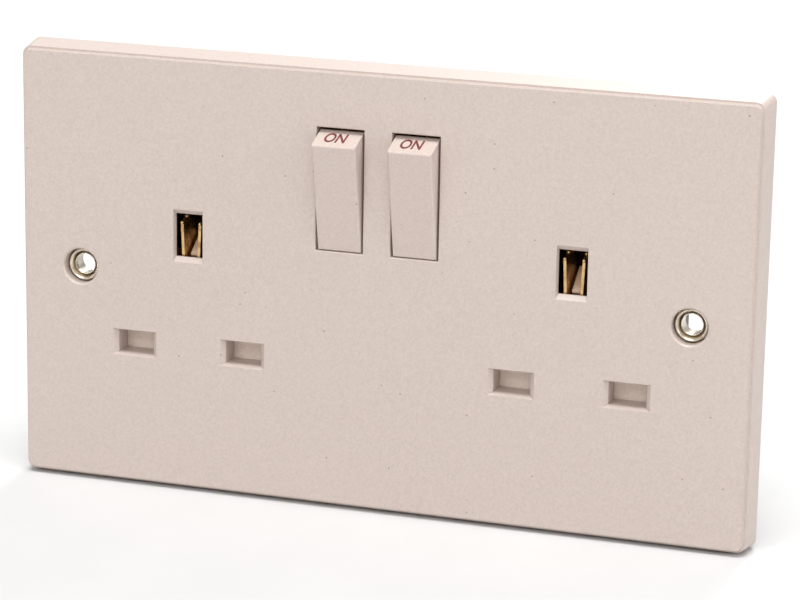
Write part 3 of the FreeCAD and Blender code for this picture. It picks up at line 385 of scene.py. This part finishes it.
def waxy_moulding(name, deep, pale):
    finish, tree, shader = new_finish(name)
    tone = ramp(tree, grain(tree, per_metre=500, detail=3), NOISE_SPAN, (deep, pale))
    tree.links.new(tone, shader.inputs["Base Color"])
    waxy = ranged(tree, grain(tree, per_metre=900, detail=2), NOISE_SPAN, WAXY_SKIN)
    tree.links.new(waxy, shader.inputs["Roughness"])
    relief(tree, shader, grain(tree, per_metre=3000, detail=2), depth=0.01 * MM, strength=0.3)
    return finish


finishes["housing_dark"] = dark_moulding("housing_dark", linear(80, 75, 70), linear(102, 96, 90))
finishes["plunger_plastic"] = waxy_moulding("plunger_plastic", linear(224, 221, 212), linear(236, 234, 228))
print("plain mouldings added")

# %% [markdown]
# ## Metals
# The contacts are pressed from rolled brass sheet: fine lines along the rolling direction, and brown
# tarnish in patches. The eyelets are brass with a bright nickel plate, the contact tips are silver that
# has dulled, and the springs and screws are steel. Each could have nodes of its own, but they differ
# only in colour, line direction and roughness, so one recipe makes them all.


# %% Metals
def worked_metal(name, bright, dull, rough, lines=(1, 1, 1), tarnish=(0.5, 0.75)):
    """Metal with fine lines, drawn out along the axis that lines makes small, and with dull patches."""
    finish, tree, shader = new_finish(name)
    shader.inputs["Metallic"].default_value = 1.0
    patches = ranged(tree, grain(tree, per_metre=700, detail=4), tarnish, (0, 1))
    tree.links.new(mixed(tree, patches, bright, dull), shader.inputs["Base Color"])
    streaks = grain(tree, per_metre=2400, detail=3, stretch=lines)
    tree.links.new(ranged(tree, streaks, NOISE_SPAN, rough), shader.inputs["Roughness"])
    relief(tree, shader, streaks, depth=0.012 * MM, strength=0.3, edge=0.05 * MM)
    return finish


mouldings = len(finishes)
finishes["contact_brass"] = worked_metal(
    "contact_brass", linear(222, 186, 132), linear(150, 106, 62), (0.24, 0.42), lines=(0.08, 1, 1)
)
finishes["plated_brass"] = worked_metal(
    "plated_brass", linear(238, 229, 214), linear(216, 203, 182), (0.28, 0.38), tarnish=(0.55, 0.8)
)
finishes["contact_silver"] = worked_metal(
    "contact_silver", linear(232, 230, 224), linear(168, 160, 148), (0.22, 0.4)
)
finishes["spring_steel"] = worked_metal(
    "spring_steel", linear(190, 190, 192), linear(140, 138, 136), (0.22, 0.36), tarnish=(0.5, 0.8)
)
finishes["screw_steel"] = worked_metal(
    "screw_steel", linear(208, 210, 210), linear(168, 166, 152), (0.24, 0.42), tarnish=(0.45, 0.75)
)
print("metal finishes", len(finishes) - mouldings)

# %% [markdown]
# ## Finishes on their solids
# Each solid comes with one material slot, and the record names the finish that belongs in it. They
# could be set one by one, but a loop over the record can't forget a piece. The floor gets a plain white
# paper.

# %% Finishes on their solids
PAPER_WHITES = ((0.65, 0.65, 0.65, 1), (0.67, 0.67, 0.67, 1))
PAPER_ROUGHNESS = 0.9

for part in record["subparts"]:
    solid = frame["nodes"][part["node"]]
    solid.material_slots[0].material = finishes[part["material_slot"]]
print(len(record["subparts"]), "solids have a finish")

floor_finish, floor_tree, floor_shader = new_finish("studio_floor")
paper = ramp(floor_tree, grain(floor_tree, per_metre=40, detail=2), NOISE_SPAN, PAPER_WHITES)
floor_tree.links.new(paper, floor_shader.inputs["Base Color"])
floor_shader.inputs["Roughness"].default_value = PAPER_ROUGHNESS
floor.data.materials.append(floor_finish)

# %% [markdown]
# ## Copies of the springs
# A coil spring gets shorter when the piece that it pushes on comes nearer, and a solid that moves with
# one body can't: at the end of its travel a shutter would pass through its own spring. Keyed shapes
# would need a value for every place of the shutter. Here each spring is only swapped for a copy in
# spring steel, and its length along its axis is printed; the copy doesn't shorten.


# %% Copies of the springs
def squeezed_spring(node, axis):
    """A copy of a spring in spring steel, put in place of the solid, with its length along an axis."""
    mesh = frame["nodes"][node].data.copy()
    mesh.materials.clear()
    mesh.materials.append(finishes["spring_steel"])
    spring = bpy.data.objects.new(f"{node}_coil", mesh)
    scene.collection.objects.link(spring)
    low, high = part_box(node)
    centre = (low + high) / 2
    reach = [(vertex.co - centre).dot(axis) for vertex in mesh.vertices]
    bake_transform(spring)
    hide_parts(node)
    return max(reach) - min(reach)


joints = {joint["name"]: joint for joint in record["behaviour"]["joints"]}
for side in ("left", "right"):
    shutter_length = squeezed_spring(
        f"shutter_spring_{side}", Vector((0, 0, 1))
    )
    plunger_length = squeezed_spring(
        f"plunger_spring_{side}",
        Vector(joints[f"plunger_{side}_slide"]["axis"]),
    )
    print(side, "springs", round(shutter_length / MM, 2), "and", round(plunger_length / MM, 2), "mm long")

# %% [markdown]
# ## Sleeves in the eyelets
# A thin sleeve lines each eyelet and stands up a little in its funnel, so that the gap around it shows
# as a dark ring. A groove could be cut into the eyelet for that. A turned ring is simpler: it takes a
# few points of the sleeve's section, carried round the axis of the hole.

# %% Sleeves in the eyelets
SLEEVE_INSIDE, SLEEVE_OUTSIDE = 1.94 * MM, 2.12 * MM
SLEEVE_BELOW_LIP = 0.7 * MM
SLEEVE_ROUNDING = 0.08 * MM
SLEEVE_LENGTH = 3.0 * MM
STEPS_ROUND = 96
STEPS_OVER_CROWN = 8


def sleeve_section():
    """Radius and depth below the lip for each corner of the sleeve, with a rounded front end."""
    middle = (SLEEVE_INSIDE + SLEEVE_OUTSIDE) / 2
    half = (SLEEVE_OUTSIDE - SLEEVE_INSIDE) / 2
    angles = [math.pi * step / STEPS_OVER_CROWN for step in range(STEPS_OVER_CROWN + 1)]
    crown = SLEEVE_BELOW_LIP + SLEEVE_ROUNDING
    front = [(middle - half * math.cos(a), crown - SLEEVE_ROUNDING * math.sin(a)) for a in angles]
    back = SLEEVE_BELOW_LIP + SLEEVE_LENGTH
    return front + [(SLEEVE_OUTSIDE, back), (SLEEVE_INSIDE, back)]


def turned_ring(name, section, centre):
    """A ring whose section is carried round the Y axis through a centre."""
    points = []
    for step in range(STEPS_ROUND):
        angle = 2 * math.pi * step / STEPS_ROUND
        out = Vector((math.cos(angle), 0, math.sin(angle)))
        points += [centre + out * radius + Vector((0, depth, 0)) for radius, depth in section]
    count, faces = len(section), []
    for step in range(STEPS_ROUND):
        here, there = step * count, (step + 1) % STEPS_ROUND * count
        for corner in range(count):
            after = (corner + 1) % count
            faces.append((here + corner, here + after, there + after, there + corner))
    mesh = bpy.data.meshes.new(name)
    mesh.from_pydata(points, [], faces)
    mesh.shade_smooth()
    ring = bpy.data.objects.new(name, mesh)
    scene.collection.objects.link(ring)
    return ring


for side in ("left", "right"):
    low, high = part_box(f"fixing_eyelet_{side}")
    lip_centre = Vector(((low.x + high.x) / 2, low.y, (low.z + high.z) / 2))
    sleeve = turned_ring(f"eyelet_sleeve_{side}", sleeve_section(), lip_centre)
    sleeve.data.materials.append(finishes["plated_brass"])
    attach(sleeve, "socket_body")
    print(sleeve.name, "in an eyelet", round((high.y - low.y) / MM, 2), "mm deep")

# %% [markdown]
# ## Rolled corners of the earth leaves
# The two corners at the top of each brass leaf are rolled over, so that a pin slides in between the
# leaves, and they catch the light. They could be modelled from a sheet that is bent. At this size a
# small round bead on each corner does as well, and it is placed on the corners that the leaf's own mesh
# has.

# %% Rolled corners of the earth leaves
LEAVES_IN_FRONT_OF = -3.3 * MM
NEAR_BEAD, FAR_BEAD = 0.36 * MM, 0.46 * MM
SAME_CORNER = 0.1 * MM
BEAD_STEPS_ROUND, BEAD_STEPS_HIGH = 24, 16


def top_corner(points, depth):
    """Middle of the sheet's thickness at the top of a leaf, at one depth."""
    level = [point for point in points if abs(point.y - depth) < SAME_CORNER]
    top = max(point.z for point in level)
    corner = [point for point in level if top - point.z < SAME_CORNER]
    return sum(corner, Vector()) / len(corner)


def rolled_corners(name, beads):
    """One mesh of round beads, each given by its place and radius."""
    shape = bmesh.new()
    for place, radius in beads:
        bmesh.ops.create_uvsphere(
            shape, u_segments=BEAD_STEPS_ROUND, v_segments=BEAD_STEPS_HIGH, radius=radius,
            matrix=Matrix.Translation(place),
        )
    mesh = bpy.data.meshes.new(name)
    shape.to_mesh(mesh)
    shape.free()
    mesh.shade_smooth()
    corners = bpy.data.objects.new(name, mesh)
    scene.collection.objects.link(corners)
    return corners


leaf_points = [v.co for v in frame["nodes"]["earth_bar"].data.vertices if v.co.y < LEAVES_IN_FRONT_OF]
for side, sign in (("left", -1), ("right", 1)):
    fork = [point for point in leaf_points if point.x * sign > 0]
    middle = (min(point.x for point in fork) + max(point.x for point in fork)) / 2
    for hand_name, hand in (("a", -1), ("b", 1)):
        leaf = [point for point in fork if (point.x - middle) * hand > 0]
        near = top_corner(leaf, min(point.y for point in leaf))
        far = top_corner(leaf, max(point.y for point in leaf))
        roll = rolled_corners(f"leaf_corners_{side}_{hand_name}", [(near, NEAR_BEAD), (far, FAR_BEAD)])
        roll.data.materials.append(finishes["contact_brass"])
        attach(roll, "socket_body")
        print(roll.name, "at", [round(c / MM, 2) for c in near], "and", [round(c / MM, 2) for c in far])

# %% [markdown]
# ## A flat place for the print
# Each rocker has the word ON printed in red on the end that stands proud, so it is read when the switch
# is on. The letters need a flat place to lie on. Its position could be typed in, but it would be wrong
# as soon as the rocker changed, so it is found from the rocker's own mesh: the widest facet that faces
# up and forward.

# %% A flat place for the print
UP_AND_FORWARD = Vector((0, -0.38, 0.92))
NEAR_ENOUGH = 0.8
SAME_WAY = 0.9999
SAME_PLANE = 0.02 * MM


def flat_facet(node, wanted):
    """Centre and normal of the largest flat stretch of a solid that faces the wanted way."""
    faces = [face for face in frame["nodes"][node].data.polygons if face.normal.dot(wanted) > NEAR_ENOUGH]

    def stretch_of(first):
        level = [face for face in faces if face.normal.dot(first.normal) > SAME_WAY]
        return [face for face in level if abs((face.center - first.center).dot(first.normal)) < SAME_PLANE]

    def area_of(stretch):
        return sum(face.area for face in stretch)

    widest = max((stretch_of(face) for face in faces), key=area_of)
    centre = sum((face.center * face.area for face in widest), Vector()) / area_of(widest)
    return centre, widest[0].normal.copy()


facets = {side: flat_facet(f"rocker_{side}", UP_AND_FORWARD) for side in ("left", "right")}
for side, (place, facing) in facets.items():
    print(side, "facet at", [round(c / MM, 1) for c in place], "facing", [round(c, 2) for c in facing])

# %% [markdown]
# ## Letters as thin solids
# The word could be painted by a texture, but a thin film of real letters stays sharp at any distance. A
# text object already has the outlines. It is leaned, thickened and turned into a mesh, made narrower,
# and laid half sunk on its facet, so that no gap shows under it.


# %% Letters as thin solids
def letters(name, words, size, thick, centre, normal, up, narrow=1.0, lean=0.0, bold=0.0, shift=(0, 0)):
    """Letters as a thin solid, half sunk in the facet that they lie on."""
    curve = bpy.data.curves.new(name, "FONT")
    curve.body = words
    curve.size = size
    curve.shear = lean
    curve.offset = bold
    curve.extrude = thick
    curve.align_x = "CENTER"
    curve.align_y = "CENTER"
    text = bpy.data.objects.new(f"{name}_text", curve)
    scene.collection.objects.link(text)
    bpy.context.view_layer.update()
    mesh = bpy.data.meshes.new_from_object(text.evaluated_get(bpy.context.evaluated_depsgraph_get()))
    bpy.data.objects.remove(text)
    upright = (up - normal * up.dot(normal)).normalized()
    across = upright.cross(normal)
    turn = Matrix((across * narrow, upright, normal)).transposed().to_4x4()
    place = centre + across * shift[0] + upright * shift[1]
    mesh.transform(Matrix.Translation(place) @ turn)
    piece = bpy.data.objects.new(name, mesh)
    scene.collection.objects.link(piece)
    return piece


print("letters can be laid on any facet")

# %% [markdown]
# ## Print on the switches
# The ink is a dull red that has worn paler in spots. One flat red would do from afar, but close up the
# wear is what makes it look like print, so a noise mixes the fresh colour and the worn one. The size,
# the lean and the boldness of the word follow the photograph.

# %% Print on the switches
ON_SIZE = 4.35 * MM
ON_NARROW = 0.635
ON_LEAN = 0.08
ON_BOLD = 0.09 * MM
ON_SHIFT = (-0.5 * MM, -0.15 * MM)
ON_UP = Vector((0, 1, 0.4))
PRINT_FILM = 0.02 * MM
WEAR_SPAN = (0.45, 0.75)
WEAR_SHARE = 0.35
INK_SKIN = (0.5, 0.65)


def worn_ink(name, fresh, worn):
    finish, tree, shader = new_finish(name)
    wear = ranged(tree, grain(tree, per_metre=2600, detail=3), WEAR_SPAN, (0, WEAR_SHARE))
    tree.links.new(mixed(tree, wear, fresh, worn), shader.inputs["Base Color"])
    skin = ranged(tree, grain(tree, per_metre=1200, detail=2), NOISE_SPAN, INK_SKIN)
    tree.links.new(skin, shader.inputs["Roughness"])
    return finish


print_red = worn_ink("print_red", linear(112, 48, 47), linear(144, 84, 79))
for side in ("left", "right"):
    place, facing = facets[side]
    word = letters(
        f"on_print_{side}", "ON", ON_SIZE, PRINT_FILM, place, facing, ON_UP,
        narrow=ON_NARROW, lean=ON_LEAN, bold=ON_BOLD, shift=ON_SHIFT,
    )
    word.data.materials.append(print_red)
    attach(word, f"rocker_{side}")
    print(word.name, "at", [round(c / MM, 1) for c in place])

# %% [markdown]
# ## Marks on the back
# Every such socket says which wire goes where: L for line, N for neutral and E for earth, moulded into
# the back beside each terminal. They could be a flat print like the word on the switches, but moulded
# marks stand up, so these are raised letters of the housing's own material, which handling has rubbed
# pale.

# %% Marks on the back
MARK_SIZE = 4.4 * MM
MARK_RAISED = 0.25 * MM
MARK_ABOVE_BAY = 3.2 * MM

brass_light_and_rubbed_marks = dark_moulding("rubbed_marks", linear(150, 143, 134), linear(172, 164, 154))
housing_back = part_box("rear_housing")[1].y
for kind, letter in (("line", "L"), ("neutral", "N"), ("earth", "E")):
    low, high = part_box(f"{kind}_terminal")
    place = Vector(((low.x + high.x) / 2, housing_back, high.z + MARK_ABOVE_BAY))
    mark = letters(
        f"{kind}_mark", letter, MARK_SIZE, MARK_RAISED, place,
        normal=Vector((0, 1, 0)), up=Vector((0, 0, 1)),
    )
    mark.data.materials.append(brass_light_and_rubbed_marks)
    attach(mark, "socket_body")
print("marks above the terminals")
